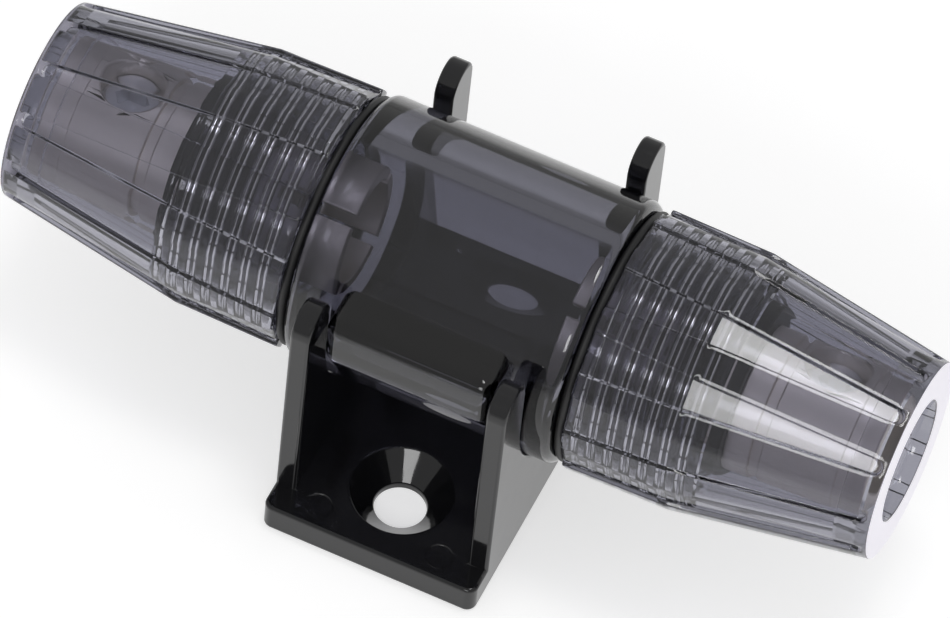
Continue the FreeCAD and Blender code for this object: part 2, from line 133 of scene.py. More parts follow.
def polished_black_abs():
    """ABS from a polished tool: a mirror-like black skin, with the faint waves of a cooled
    wall and a little handling haze that breaks up its highlights."""
    material, tree = new_material("polished_black_abs")
    place = add(tree, "ShaderNodeTexCoord").outputs["Object"]
    waves = add(tree, "ShaderNodeTexNoise", {
        "Vector": place, "Scale": 1 / (6 * MM), "Detail": 1.0})
    haze = add(tree, "ShaderNodeTexNoise", {
        "Vector": place, "Scale": 1 / (1.5 * MM), "Detail": 5.0})
    gloss = add(tree, "ShaderNodeMapRange", {
        "Value": haze.outputs["Fac"], "From Min": 0.35, "From Max": 0.75,
        "To Min": 0.05, "To Max": 0.13})
    relief = add(tree, "ShaderNodeBump", {
        "Height": waves.outputs["Fac"], "Strength": 0.3, "Distance": 0.04 * MM})
    surface = add(tree, "ShaderNodeBsdfPrincipled", {
        "Base Color": linear("#141416"), "Roughness": gloss.outputs["Result"],
        "IOR": 1.54, "Normal": relief.outputs["Normal"]})
    add(tree, "ShaderNodeOutputMaterial", {"Surface": surface.outputs["BSDF"]})
    return material


bracket_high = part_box("mounting_bracket")[1]
EDGE_ROUND = 0.3 * MM
# The plate's details: the screw holes' distance from the middle, how far their countersinks
# reach, the plate's top, the strip along its outline without details, and their share.
HOLE_PLACE = 13.3 * MM
HOLE_REACH = 5.2 * MM
PLATE_TOP = 3.2 * MM
OUTLINE_STRIP = 1.0 * MM
JUST_OVER = 0.01 * MM
DETAIL_SHARE = 0.45


def plate_detail_share(edge):
    """Less rounding on the screw holes and on the ejector pin marks than on the outline."""
    middle = (edge.verts[0].co + edge.verts[1].co) / 2
    inside = (abs(middle.x) < bracket_high.x - OUTLINE_STRIP
              and abs(middle.y) < bracket_high.y - OUTLINE_STRIP)
    in_holes = inside and abs(middle.y) > HOLE_PLACE - HOLE_REACH
    return DETAIL_SHARE if in_holes and middle.z < PLATE_TOP + JUST_OVER else 1.0


bracket = softened("mounting_bracket", "bracket_moulding", EDGE_ROUND, plate_detail_share)
bracket.data.materials.append(polished_black_abs())
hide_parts("mounting_bracket")
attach(bracket, "bracket")

# Body tube: one moulding of smoked clear polycarbonate. Its bare barrel lies in the bracket's
# cradle, a rounded pad at the front stops it turning, and each end has a moulded thread for
# a cap.
tube_low, tube_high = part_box("body_tube")
AXIS_HEIGHT = (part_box("left_end_cap")[0].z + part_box("left_end_cap")[1].z) / 2
TUBE_END = tube_high.x
BARREL_RADIUS = tube_high.z - AXIS_HEIGHT
BARREL_HALF = 13.7 * MM
SHOULDER_ROUND = 1.0 * MM
CHAMBER_RADIUS = 7.8 * MM
THREAD_PITCH = 1.75 * MM
THREAD_CREST = 10.78 * MM
THREAD_ROOT = 10.25 * MM
THREAD_LEAD = 0.6 * MM
THREAD_RUN_OUT = 0.6 * MM
THREAD_ROWS = 14
TUBE_COLUMNS = 192
# Vertices of the mouldings this close are one, and the tube's corners over this stay crisp.
WELD = 0.002 * MM
TUBE_CORNER = math.radians(35)


def sector(bands, columns, count, point_at):
    """A slice of something round, one part in count of the whole turn, as quads between the
    rows of each band."""
    shape = bmesh.new()
    for rows in bands:
        previous = None
        for row in rows:
            current = [shape.verts.new(point_at(row, column)) for column in range(columns + 1)]
            if previous:
                for place in range(columns):
                    shape.faces.new((previous[place], previous[place + 1],
                                     current[place + 1], current[place]))
            previous = current
    mesh = bpy.data.meshes.new("sector")
    shape.to_mesh(mesh)
    shape.free()
    return mesh


def ring_and_thread_tree():
    """Repeats a slice round the tube's axis and joins a helical thread to it. The thread is a
    grid sheared along its own helix, so that its crests and roots run along grid lines."""
    tree = bpy.data.node_groups.new("ring_and_thread", "GeometryNodeTree")
    named = tree.interface.new_socket
    named("Slice", in_out="INPUT", socket_type="NodeSocketGeometry")
    named("Slices", in_out="INPUT", socket_type="NodeSocketInt")
    named("Columns", in_out="INPUT", socket_type="NodeSocketInt")
    named("Rows", in_out="INPUT", socket_type="NodeSocketInt")
    for name in ("Thread start", "Thread length", "Pitch", "Root radius", "Crest radius",
                 "Run out", "Outward", "Axis height", "Turn"):
        named(name, in_out="INPUT", socket_type="NodeSocketFloat")
    named("Both ends", in_out="INPUT", socket_type="NodeSocketBool")
    named("Material", in_out="INPUT", socket_type="NodeSocketMaterial")
    named("Geometry", in_out="OUTPUT", socket_type="NodeSocketGeometry")
    given = add(tree, "NodeGroupInput").outputs

    # The ring: one point for each slice, turned in even steps.
    points = add(tree, "GeometryNodePoints", {"Count": given["Slices"]})
    index = add(tree, "GeometryNodeInputIndex").outputs["Index"]
    share = add(tree, "ShaderNodeMath", {0: index, 1: given["Slices"]}, operation="DIVIDE")
    step = add(tree, "ShaderNodeMath", {0: share.outputs[0], 1: math.tau}, operation="MULTIPLY")
    turned = add(tree, "ShaderNodeCombineXYZ", {"X": step.outputs[0]})
    ring = add(tree, "GeometryNodeInstanceOnPoints", {
        "Points": points.outputs[0], "Instance": given["Slice"], "Rotation": turned.outputs[0]})
    ring_mesh = add(tree, "GeometryNodeRealizeInstances", {"Geometry": ring.outputs[0]})

    # The thread: how many pitches its grid covers, and where each vertex lies along it.
    turns = add(tree, "ShaderNodeMath", {0: given["Thread length"], 1: given["Pitch"]},
                operation="DIVIDE")
    whole = add(tree, "ShaderNodeMath", {0: turns.outputs[0]}, operation="CEIL")
    covered = add(tree, "ShaderNodeMath", {0: whole.outputs[0], 1: 1.0}, operation="ADD")
    row_count = add(tree, "ShaderNodeMath", {0: covered.outputs[0], 1: given["Rows"], 2: 1.0},
                    operation="MULTIPLY_ADD")
    column_count = add(tree, "ShaderNodeMath", {0: given["Columns"], 1: 1.0}, operation="ADD")
    grid = add(tree, "GeometryNodeMeshGrid", {
        "Size X": 1.0, "Size Y": 1.0, "Vertices X": column_count.outputs[0],
        "Vertices Y": row_count.outputs[0]})
    spot = add(tree, "GeometryNodeInputPosition").outputs[0]
    split = add(tree, "ShaderNodeSeparateXYZ", {0: spot})
    around = add(tree, "ShaderNodeMath", {0: split.outputs["X"], 1: 0.5}, operation="ADD")
    along = add(tree, "ShaderNodeMath", {0: split.outputs["Y"], 1: 0.5}, operation="ADD")
    pitches = add(tree, "ShaderNodeMath", {0: along.outputs[0], 1: covered.outputs[0]},
                  operation="MULTIPLY")
    sheared = add(tree, "ShaderNodeMath", {0: pitches.outputs[0], 1: around.outputs[0]},
                  operation="SUBTRACT")
    free = add(tree, "ShaderNodeMath", {0: sheared.outputs[0], 1: given["Pitch"]},
               operation="MULTIPLY")
    above = add(tree, "ShaderNodeMath", {0: free.outputs[0], 1: 0.0}, operation="MAXIMUM")
    travel = add(tree, "ShaderNodeMath", {0: above.outputs[0], 1: given["Thread length"]},
                 operation="MINIMUM")

    # The thread's form: a rounded ridge that fades out at both ends.
    phase = add(tree, "ShaderNodeMath", {0: pitches.outputs[0], 1: math.tau}, operation="MULTIPLY")
    swing = add(tree, "ShaderNodeMath", {0: phase.outputs[0]}, operation="COSINE")
    ridge = add(tree, "ShaderNodeMapRange", {
        "Value": swing.outputs[0], "From Min": -0.1, "From Max": 0.85,
        "To Min": 0.0, "To Max": 1.0}, interpolation_type="SMOOTHSTEP")
    left = add(tree, "ShaderNodeMath", {0: given["Thread length"], 1: travel.outputs[0]},
               operation="SUBTRACT")
    nearer = add(tree, "ShaderNodeMath", {0: travel.outputs[0], 1: left.outputs[0]},
                 operation="MINIMUM")
    faded = add(tree, "ShaderNodeMapRange", {
        "Value": nearer.outputs[0], "From Min": 0.0, "From Max": given["Run out"],
        "To Min": 0.0, "To Max": 1.0}, interpolation_type="SMOOTHSTEP")
    height = add(tree, "ShaderNodeMath", {0: ridge.outputs["Result"], 1: faded.outputs["Result"]},
                 operation="MULTIPLY")
    depth = add(tree, "ShaderNodeMath", {0: given["Crest radius"], 1: given["Root radius"]},
                operation="SUBTRACT")
    radius = add(tree, "ShaderNodeMath", {
        0: depth.outputs[0], 1: height.outputs[0], 2: given["Root radius"]},
        operation="MULTIPLY_ADD")
    hand = add(tree, "ShaderNodeMath", {0: given["Outward"], 1: math.tau}, operation="MULTIPLY")
    angle = add(tree, "ShaderNodeMath", {0: around.outputs[0], 1: hand.outputs[0]},
                operation="MULTIPLY")
    sine = add(tree, "ShaderNodeMath", {0: angle.outputs[0]}, operation="SINE")
    cosine = add(tree, "ShaderNodeMath", {0: angle.outputs[0]}, operation="COSINE")
    sideways = add(tree, "ShaderNodeMath", {0: radius.outputs[0], 1: sine.outputs[0]},
                   operation="MULTIPLY")
    upwards = add(tree, "ShaderNodeMath", {0: radius.outputs[0], 1: cosine.outputs[0]},
                  operation="MULTIPLY")
    station = add(tree, "ShaderNodeMath", {0: given["Thread start"], 1: travel.outputs[0]},
                  operation="ADD")
    outward = add(tree, "ShaderNodeMath", {0: station.outputs[0], 1: given["Outward"]},
                  operation="MULTIPLY")
    place = add(tree, "ShaderNodeCombineXYZ", {
        "X": outward.outputs[0], "Y": sideways.outputs[0], "Z": upwards.outputs[0]})
    thread = add(tree, "GeometryNodeSetPosition", {
        "Geometry": grid.outputs["Mesh"], "Position": place.outputs[0]})

    # The other end's thread is this one turned half round, which keeps its hand.
    half_turn = add(tree, "GeometryNodeTransform", {
        "Geometry": thread.outputs[0], "Rotation": (0.0, 0.0, math.pi)})
    other = add(tree, "GeometryNodeSwitch", {
        "Switch": given["Both ends"], "True": half_turn.outputs[0]}, input_type="GEOMETRY")
    joined = add(tree, "GeometryNodeJoinGeometry")
    for part in (ring_mesh, thread, other):
        tree.links.new(part.outputs[0], joined.inputs[0])
    welded = add(tree, "GeometryNodeMergeByDistance", {
        "Geometry": joined.outputs[0], "Distance": WELD})
    lift = add(tree, "ShaderNodeCombineXYZ", {"Z": given["Axis height"]})
    spin = add(tree, "ShaderNodeCombineXYZ", {"X": given["Turn"]})
    raised = add(tree, "GeometryNodeTransform", {
        "Geometry": welded.outputs[0], "Translation": lift.outputs[0],
        "Rotation": spin.outputs[0]})
    whole_mesh = add(tree, "GeometryNodeRealizeInstances", {"Geometry": raised.outputs[0]})
    dressed = add(tree, "GeometryNodeSetMaterial", {
        "Geometry": whole_mesh.outputs[0], "Material": given["Material"]})
    add(tree, "NodeGroupOutput", {"Geometry": dressed.outputs[0]})
    return tree


def run_tree(piece, tree, values):
    """Runs a tree on a piece with its inputs set, and keeps the result as a plain mesh."""
    modifier = piece.modifiers.new(tree.name, "NODES")
    modifier.node_group = tree
    for item in tree.interface.items_tree:
        if item.in_out == "INPUT" and item.name in values:
            modifier[item.identifier] = values[item.name]
    return made_plain(piece)


def closed_and_smooth(mesh, sharp_over):
    """Points the faces of a closed mesh outwards, and leaves its corners crisp."""
    shape = bmesh.new()
    shape.from_mesh(mesh)
    bmesh.ops.remove_doubles(shape, verts=shape.verts, dist=WELD)
    bmesh.ops.recalc_face_normals(shape, faces=shape.faces)
    for face in shape.faces:
        face.smooth = True
    for edge in shape.edges:
        edge.smooth = not edge.is_manifold or edge.calc_face_angle() < sharp_over
    shape.to_mesh(mesh)
    shape.free()


def smoked_polycarbonate():
    """Polycarbonate dyed smoke grey, from polished tools: clear enough to read what is inside,
    darker where more walls lie behind each other, and faintly lavender. The caps' end faces
    are satin from trimming and pale, with a painted glow: an emission that stands in for the
    light running along inside the walls, so they read as a pale ring. Lamps shine through the
    walls, dimmed as a wall dims them."""
    material, tree = new_material("smoked_polycarbonate")
    place = add(tree, "ShaderNodeTexCoord").outputs["Object"]
    waves = add(tree, "ShaderNodeTexNoise", {
        "Vector": place, "Scale": 1 / (5 * MM), "Detail": 1.0})
    relief = add(tree, "ShaderNodeBump", {
        "Height": waves.outputs["Fac"], "Strength": 0.25, "Distance": 0.03 * MM})
    split = add(tree, "ShaderNodeSeparateXYZ", {0: place})
    along = add(tree, "ShaderNodeMath", {0: split.outputs["X"]}, operation="ABSOLUTE")
    trimmed = add(tree, "ShaderNodeMapRange", {
        "Value": along.outputs[0],
        "From Min": TRIMMED_FROM - 0.02 * MM, "From Max": TRIMMED_FROM})
    shine = add(tree, "ShaderNodeMapRange", {
        "Value": trimmed.outputs["Result"], "To Min": 0.03, "To Max": 0.4})
    clear = add(tree, "ShaderNodeMapRange", {
        "Value": trimmed.outputs["Result"], "To Min": 1.0, "To Max": 0.1})
    # Painted glow: the end faces give out light of their own, standing in for light piped along
    # inside the walls.
    painted_glow = add(tree, "ShaderNodeMapRange", {
        "Value": trimmed.outputs["Result"], "To Min": 0.0, "To Max": 0.34})
    dye = add(tree, "ShaderNodeMix", {
        0: trimmed.outputs["Result"], 6: linear("#bcbcc7"), 7: linear("#f2eff8")},
        data_type="RGBA")
    surface = add(tree, "ShaderNodeBsdfPrincipled", {
        "Base Color": dye.outputs[2], "Roughness": shine.outputs["Result"], "IOR": 1.58,
        "Transmission Weight": clear.outputs["Result"], "Normal": relief.outputs["Normal"],
        "Emission Color": linear("#f2eff8"), "Emission Strength": painted_glow.outputs["Result"]})
    passing = add(tree, "ShaderNodeBsdfTransparent", {"Color": linear("#dbdbe1")})
    seen = add(tree, "ShaderNodeLightPath").outputs
    both = add(tree, "ShaderNodeMixShader", {
        0: seen["Is Shadow Ray"], 1: surface.outputs["BSDF"], 2: passing.outputs[0]})
    depth = add(tree, "ShaderNodeVolumeAbsorption", {
        "Color": linear("#96969f"), "Density": 0.14 / MM})
    add(tree, "ShaderNodeOutputMaterial", {
        "Surface": both.outputs[0], "Volume": depth.outputs["Volume"]})
    return material


# The trimmed end faces start this far along the tube, just inside the caps' ends.
TRIMMED_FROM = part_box("right_end_cap")[1].x - 0.03 * MM
smoked = smoked_polycarbonate()
ring_and_thread = ring_and_thread_tree()


def tube_rows():
    """The tube's outline as stations and radii: the barrel from thread to thread, then both
    ends, their edges broken, and the bore between them."""
    steps = 6
    bore_edge = 0.2 * MM
    rounding = [math.radians(90) * step / steps for step in range(steps + 1)]
    centre = BARREL_HALF - SHOULDER_ROUND
    shoulder = [(centre + SHOULDER_ROUND * math.cos(turn),
                 BARREL_RADIUS - SHOULDER_ROUND + SHOULDER_ROUND * math.sin(turn))
                for turn in rounding]
    barrel = [(BARREL_HALF, THREAD_ROOT)] + shoulder
    barrel += [(-x, radius) for x, radius in reversed(barrel)]
    tip = [(TUBE_END - THREAD_LEAD, THREAD_ROOT), (TUBE_END - 0.15 * MM, THREAD_ROOT - 0.1 * MM),
           (TUBE_END, THREAD_ROOT - 0.3 * MM), (TUBE_END, CHAMBER_RADIUS + bore_edge),
           (TUBE_END - bore_edge, CHAMBER_RADIUS)]
    bore = tip + [(-x, radius) for x, radius in reversed(tip)]
    return barrel, bore


def tube_point(row, column):
    """Where a column of the tube's slice lies on a row of its outline."""
    x, radius = row
    turn = math.tau * column / TUBE_COLUMNS
    return Vector((x, radius * math.sin(turn), radius * math.cos(turn)))


TUBE_SLICES = 48
tube = new_piece("clear_tube", sector(
    tube_rows(), TUBE_COLUMNS // TUBE_SLICES, TUBE_SLICES, tube_point))
run_tree(tube, ring_and_thread, {
    "Slices": TUBE_SLICES, "Columns": TUBE_COLUMNS, "Rows": THREAD_ROWS,
    "Thread start": BARREL_HALF, "Thread length": TUBE_END - THREAD_LEAD - BARREL_HALF,
    "Pitch": THREAD_PITCH, "Root radius": THREAD_ROOT, "Crest radius": THREAD_CREST,
    "Run out": THREAD_RUN_OUT, "Outward": 1.0, "Axis height": AXIS_HEIGHT, "Both ends": True,
    "Material": smoked})

# The pad is one block with rounded edges, joined into the barrel's front.
PAD_HALF = 8.4 * MM
PAD_ROUND = 1.3 * MM
PAD_LOW = AXIS_HEIGHT + 1.0 * MM
PAD_HIGH = AXIS_HEIGHT + 7.0 * MM
PAD_ROOT = -9.0 * MM
pad_shape = bmesh.new()
bmesh.ops.create_cube(pad_shape, size=1.0)
for vertex in pad_shape.verts:
    vertex.co.x = math.copysign(PAD_HALF, vertex.co.x)
    vertex.co.y = tube_low.y if vertex.co.y < 0 else PAD_ROOT
    vertex.co.z = PAD_HIGH if vertex.co.z > 0 else PAD_LOW
front_edges = [edge for edge in pad_shape.edges
               if min(vertex.co.y for vertex in edge.verts) < PAD_ROOT - MM]
bmesh.ops.bevel(pad_shape, geom=front_edges, offset=PAD_ROUND, segments=8, profile=0.5,
                affect="EDGES")
pad_mesh = bpy.data.meshes.new("pad")
pad_shape.to_mesh(pad_mesh)
pad_shape.free()
pad_mesh.materials.append(smoked)
pad = new_piece("pad", pad_mesh)
closed_and_smooth(tube.data, TUBE_CORNER)
joining = tube.modifiers.new("pad", "BOOLEAN")
joining.operation = "UNION"
joining.object = pad
joining.solver = "EXACT"
made_plain(tube)
bpy.data.objects.remove(pad)
closed_and_smooth(tube.data, TUBE_CORNER)
flattened_shading(tube)
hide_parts("body_tube")
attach(tube, "tube")

# Contact bushes: black rubber sleeves pushed into the ends of the tube, which centre the
# contacts and cushion their shoulders. The shoulder seals are rings of the same rubber, slid
# over each thread against the barrel.
RUBBER_ROUND = 0.2 * MM


def moulded_rubber():
    """Compression moulded rubber: matt and deep black, with a very fine grain."""
    material, tree = new_material("moulded_rubber")
    place = add(tree, "ShaderNodeTexCoord").outputs["Object"]
    grain = add(tree, "ShaderNodeTexNoise", {
        "Vector": place, "Scale": 1 / (0.25 * MM), "Detail": 3.0})
    relief = add(tree, "ShaderNodeBump", {
        "Height": grain.outputs["Fac"], "Strength": 0.4, "Distance": 0.02 * MM})
    surface = add(tree, "ShaderNodeBsdfPrincipled", {
        "Base Color": linear("#141415"), "Roughness": 0.5, "IOR": 1.5,
        "Normal": relief.outputs["Normal"]})
    add(tree, "ShaderNodeOutputMaterial", {"Surface": surface.outputs["BSDF"]})
    return material


rubber = moulded_rubber()
for side in ("left", "right"):
    for node, body in ((f"{side}_contact_bush", "tube"), (f"{side}_shoulder_seal", f"{side}_seal")):
        ring = softened(node, f"{node}_rubber", RUBBER_ROUND)
        ring.data.materials.append(rubber)
        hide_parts(node)
        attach(ring, body)

# Contacts: brass turned from bar, slotted, tapped and plated with satin nickel. Each cup
# springs over one end of the fuse, and each terminal takes a stripped cable under its screw.
SCREW_TURN = {"left": math.radians(-4), "right": math.radians(-16)}
HOLE_RIM = 3.3 * MM
COUNTERSINK = 0.25 * MM
EDGE_SHARE = 0.5
SCREW_EDGE = 0.06 * MM
TURNED_RINGS = 0.754 * MM


def satin_nickel_on_turned_brass():
    """Nickel over turned brass: pale and faintly warm, with the fine rings of the tool round
    the axis. They are drawn 0.75 mm apart, far coarser than a tool leaves them, so that they
    show."""
    band_at_scale_one = math.tau / 20
    material, tree = new_material("satin_nickel_on_turned_brass")
    place = add(tree, "ShaderNodeTexCoord").outputs["Object"]
    rings = add(tree, "ShaderNodeTexWave", {
        "Vector": place, "Scale": band_at_scale_one / TURNED_RINGS,
        "Distortion": 0.6, "Detail": 2.0},
        wave_type="BANDS", bands_direction="X")
    cloud = add(tree, "ShaderNodeTexNoise", {
        "Vector": place, "Scale": 1 / (2 * MM), "Detail": 4.0})
    satin = add(tree, "ShaderNodeMapRange", {
        "Value": cloud.outputs["Fac"], "From Min": 0.3, "From Max": 0.7,
        "To Min": 0.46, "To Max": 0.58})
    relief = add(tree, "ShaderNodeBump", {
        "Height": rings.outputs["Fac"], "Strength": 0.25, "Distance": 0.01 * MM})
    surface = add(tree, "ShaderNodeBsdfPrincipled", {
        "Base Color": linear("#f3ede4"), "Metallic": 1.0, "Roughness": satin.outputs["Result"],
        "Normal": relief.outputs["Normal"]})
    add(tree, "ShaderNodeOutputMaterial", {"Surface": surface.outputs["BSDF"]})
    return material


def zinc_plated_steel():
    """Zinc plate on a small steel screw: brighter than the terminal and a little cold."""
    material, tree = new_material("zinc_plated_steel")
    place = add(tree, "ShaderNodeTexCoord").outputs["Object"]
    cloud = add(tree, "ShaderNodeTexNoise", {
        "Vector": place, "Scale": 1 / (0.8 * MM), "Detail": 4.0})
    shine = add(tree, "ShaderNodeMapRange", {
        "Value": cloud.outputs["Fac"], "From Min": 0.3, "From Max": 0.7,
        "To Min": 0.34, "To Max": 0.44})
    surface = add(tree, "ShaderNodeBsdfPrincipled", {
        "Base Color": linear("#f1f2f4"), "Metallic": 1.0, "Roughness": shine.outputs["Result"]})
    add(tree, "ShaderNodeOutputMaterial", {"Surface": surface.outputs["BSDF"]})
    return material


def hole_rim_share(side):
    """Full width for the countersink of the tapped hole, and half of it for all other edges."""
    low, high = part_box(f"{side}_set_screw")
    centre = (Vector(low) + Vector(high)) / 2
    tilt = SCREW_TURN[side]
    axis = Vector((0, -math.sin(tilt), math.cos(tilt)))

    def share(edge):
        reach = (edge.verts[0].co + edge.verts[1].co) / 2 - centre
        along = reach.dot(axis)
        aside = (reach - axis * along).length
        return 1.0 if along > 0 and aside < HOLE_RIM else EDGE_SHARE
    return share


nickel = satin_nickel_on_turned_brass()
zinc = zinc_plated_steel()
for side in ("left", "right"):
    contact = softened(
        f"{side}_contact", f"{side}_contact_turning", COUNTERSINK, hole_rim_share(side), steps=2)
    contact.data.materials.append(nickel)
    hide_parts(f"{side}_contact")
    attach(contact, "tube")
    screw = softened(f"{side}_set_screw", f"{side}_set_screw_steel", SCREW_EDGE, steps=2)
    screw.data.materials.append(zinc)
    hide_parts(f"{side}_set_screw")
    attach(screw, f"{side}_screw")

# End caps: two like mouldings of the tube's smoked polycarbonate. Twelve flutes with flat
# floors narrow to rounded ends and give the fingers a grip, and a thread inside draws the cap
# down on the seal.
cap_low, cap_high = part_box("right_end_cap")
FLUTES = 12
HALF_STEP = math.pi / FLUTES
CAP_RIM = cap_low.x
CAP_END = cap_high.x
CAP_KNEE = CAP_RIM + 10.4 * MM
RIM_RADIUS = 12.95 * MM
KNEE_RADIUS = 12.8 * MM
SMALL_RADIUS = 9.8 * MM
END_ROUND = 0.2 * MM
CABLE_HOLE = 6.0 * MM
END_WALL = 1.7 * MM
INNER_RING_RADIUS = 7.68 * MM
INNER_RING_LENGTH = 2.0 * MM
TAPER_WALL = 2.1 * MM
CAP_THREAD_CREST = 10.86 * MM
CAP_THREAD_ROOT = 11.35 * MM
CAP_THREAD_START = CAP_RIM + 0.5 * MM
CAP_THREAD_END = TUBE_END + 0.4 * MM
FLUTE_HALF = 2.05 * MM
FLUTE_END_HALF = 0.7 * MM
PLAIN_END = 0.6 * MM
FLUTE_STOP = CAP_END - PLAIN_END - FLUTE_END_HALF
FLUTE_DEPTH = 0.5 * MM
FLUTE_FOOT = 0.07 * MM
FLUTE_LEAN = 0.06 * MM
FLUTE_SOFT = 0.1 * MM
# Places across half a flute's floor, as shares of its width. Beside the floor come its foot,
# the wall's edge and the land's start, each so far outside the flute's outline.
FLOOR_SHARES = (0.0, 0.3, 0.58, 0.8, 0.93, 1.0)
OUTSETS = (-FLUTE_FOOT, 0.0, FLUTE_LEAN, FLUTE_LEAN + FLUTE_SOFT)
LAND_STEPS = 3
FLOOR_LAST = len(FLOOR_SHARES) - 1
SURFACE = len(OUTSETS) - 1
HALF_COLUMNS = FLOOR_LAST + SURFACE + LAND_STEPS
# The taper's rows as shares of the way from the knee to the flutes' ends, and the row of the
# plain ring between them and the end face.
TAPER_SHARES = (1.0, 0.97, 0.8, 0.55, 0.3, 0.1, 0.02, 0.0)
PLAIN_RING = CAP_END - 0.32 * MM
CAP_TURN = {"left": math.radians(19.5), "right": math.radians(14.5)}
CAP_CORNER = math.radians(50)


def cap_radius(x):
    """The radius of the cap's round surface at a station along it."""
    if x < CAP_KNEE:
        return RIM_RADIUS + (KNEE_RADIUS - RIM_RADIUS) * (x - CAP_RIM) / (CAP_KNEE - CAP_RIM)
    return KNEE_RADIUS + (SMALL_RADIUS - KNEE_RADIUS) * (x - CAP_KNEE) / (CAP_END - CAP_KNEE)


def flute_half(x):
    """Half the flute's width at a station along the cap."""
    done = min((x - CAP_RIM) / (FLUTE_STOP - CAP_RIM), 1.0)
    return FLUTE_HALF + (FLUTE_END_HALF - FLUTE_HALF) * done


def flute_height(level, x, across):
    """How high one level of the flute lies at a station: floor, foot, wall's edge, surface."""
    over = cap_radius(x)
    surface = math.sqrt(over ** 2 - across ** 2)
    floor = over - FLUTE_DEPTH
    return (floor, floor + FLUTE_FOOT, surface - FLUTE_SOFT, surface)[level]


def cap_point(row, column):
    """A row is the kind of surface, a station or share along it, and a radius or level."""
    kind, along, amount = row
    place = column - HALF_COLUMNS
    side = 1 if place >= 0 else -1
    place = abs(place)
    if kind == "round":
        turn = side * place * HALF_STEP / HALF_COLUMNS
        return Vector((along, -amount * math.sin(turn), amount * math.cos(turn)))
    share = FLOOR_SHARES[min(place, FLOOR_LAST)]
    bulge = math.sqrt(1 - share ** 2)
    level = min(max(place - FLOOR_LAST, 0), SURFACE)
    land = max(place - FLOOR_LAST - SURFACE, 0)
    x = base = along
    if kind == "taper":
        base = CAP_KNEE + (FLUTE_STOP - CAP_KNEE) * along
        floor_end = FLUTE_STOP + (FLUTE_END_HALF + OUTSETS[0]) * bulge
        x = CAP_KNEE + (floor_end - CAP_KNEE) * along
    elif kind == "tip":
        level = max(level, amount)
        base = FLUTE_STOP
        x = FLUTE_STOP + (FLUTE_END_HALF + OUTSETS[level]) * bulge
    elif kind == "ring":
        level = SURFACE
    across = (flute_half(base) + OUTSETS[level]) * share
    up = flute_height(level, x, across)
    if land:
        start = math.atan2(across, up)
        turn = start + (HALF_STEP - start) * land / LAND_STEPS
        across, up = cap_radius(x) * math.sin(turn), cap_radius(x) * math.cos(turn)
    if kind == "shrunk":
        reach = math.hypot(across, up)
        across, up = across * (reach - amount) / reach, up * (reach - amount) / reach
    return Vector((x, -side * across, up))


def cap_rows():
    """The cap's skin from the thread's inner end, out through the hole and back to the rim."""
    floor = CAP_END - END_WALL
    step = floor - INNER_RING_LENGTH
    hole_edge = 0.15 * MM
    inside = [(CAP_THREAD_END, CAP_THREAD_ROOT), (CAP_THREAD_END + 0.25 * MM, CAP_THREAD_ROOT),
              (CAP_THREAD_END + 0.3 * MM, cap_radius(TUBE_END) - TAPER_WALL),
              (step, cap_radius(step) - TAPER_WALL), (step, INNER_RING_RADIUS),
              (floor, INNER_RING_RADIUS), (floor, CABLE_HOLE),
              (CAP_END - hole_edge, CABLE_HOLE), (CAP_END, CABLE_HOLE + hole_edge)]
    rows = [("round", x, radius) for x, radius in inside]
    bevel_start = CAP_END - END_ROUND
    steps = 3
    for count in range(steps + 1):
        turn = math.radians(90) * (1 - count / steps)
        radius = cap_radius(bevel_start) - END_ROUND + END_ROUND * math.cos(turn)
        rows.append(("round", bevel_start + END_ROUND * math.sin(turn), radius))
    rows.append(("ring", PLAIN_RING, 0.0))
    rows += [("tip", 0.0, level) for level in range(SURFACE, 0, -1)]
    rows += [("taper", share, 0.0) for share in TAPER_SHARES]
    straight = (CAP_KNEE - 0.3 * MM, CAP_KNEE - 2.0 * MM, CAP_RIM + 4 * MM, CAP_RIM + 0.3 * MM)
    rows += [("straight", x, 0.0) for x in straight]
    rows += [("shrunk", CAP_RIM + 0.08 * MM, 0.03 * MM), ("shrunk", CAP_RIM, 0.12 * MM)]
    rows += [("round", CAP_RIM, CAP_THREAD_ROOT + 0.2 * MM),
             ("round", CAP_THREAD_START, CAP_THREAD_ROOT)]
    return [rows]


for side, outward in (("left", -1.0), ("right", 1.0)):
    slice_mesh = sector(cap_rows(), 2 * HALF_COLUMNS, FLUTES, cap_point)
    if outward < 0:
        slice_mesh.transform(Matrix.Rotation(math.pi, 4, "Z"))
    cap = new_piece(f"{side}_cap_moulding", slice_mesh)
    run_tree(cap, ring_and_thread, {
        "Slices": FLUTES, "Columns": FLUTES * 2 * HALF_COLUMNS, "Rows": THREAD_ROWS,
        "Thread start": CAP_THREAD_START, "Thread length": CAP_THREAD_END - CAP_THREAD_START,
        "Pitch": THREAD_PITCH, "Root radius": CAP_THREAD_ROOT, "Crest radius": CAP_THREAD_CREST,
        "Run out": THREAD_RUN_OUT, "Outward": outward, "Axis height": AXIS_HEIGHT,
        "Turn": CAP_TURN[side], "Both ends": False, "Material": smoked})
    closed_and_smooth(cap.data, CAP_CORNER)
    flattened_shading(cap)
    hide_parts(f"{side}_end_cap")
    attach(cap, f"{side}_cap")

# Studio: a white sweep under the holder, with soft light from above and from the front. The
# room round it is a dim even white to what mirrors it, and full white behind the picture.
SWEEP_SIZE = 3.0
LAMPS_AIM = Vector((0, 0, 15 * MM))


